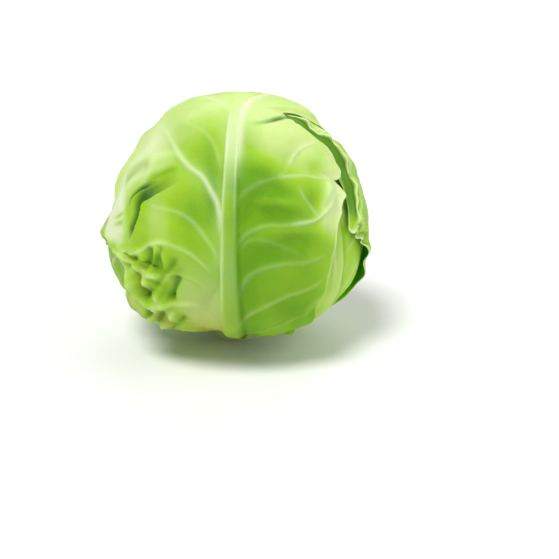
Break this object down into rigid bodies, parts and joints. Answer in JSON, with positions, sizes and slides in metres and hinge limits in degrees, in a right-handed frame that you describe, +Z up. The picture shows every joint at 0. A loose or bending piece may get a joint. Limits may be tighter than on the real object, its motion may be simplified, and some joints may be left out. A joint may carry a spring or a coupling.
{
  "type": "cabbage head",
  "caption": "Round head of green cabbage: ribbed, wavy-edged leaves wrapped over each other round a dense heart, standing on its cut stalk.",
  "frame": {"origin": "centre of the stalk's cut face, which the head stands on", "axes": "+Z up along the stalk to the crown, -Y towards the front of the head, where the midrib of the outermost leaf is"},
  "size_m": [0.1797, 0.1748, 0.1657],
  "materials": {
    "outer_leaf": "waxy satin, mid green with paler ribs and veins",
    "inner_leaf": "waxy satin, pale green",
    "heart": "waxy satin, cream to pale green",
    "stalk": "matt, cream, freshly cut"
  },
  "bodies": {
    "root": {"stalk": "stalk", "heart": "heart", "inner_leaf_1": "inner_leaf", "inner_leaf_2": "inner_leaf", "inner_leaf_3": "inner_leaf", "inner_leaf_4": "inner_leaf", "wrapper_leaf_left": "outer_leaf", "wrapper_leaf_back": "outer_leaf", "wrapper_leaf_front": "outer_leaf"}
  },
  "joints": []
}
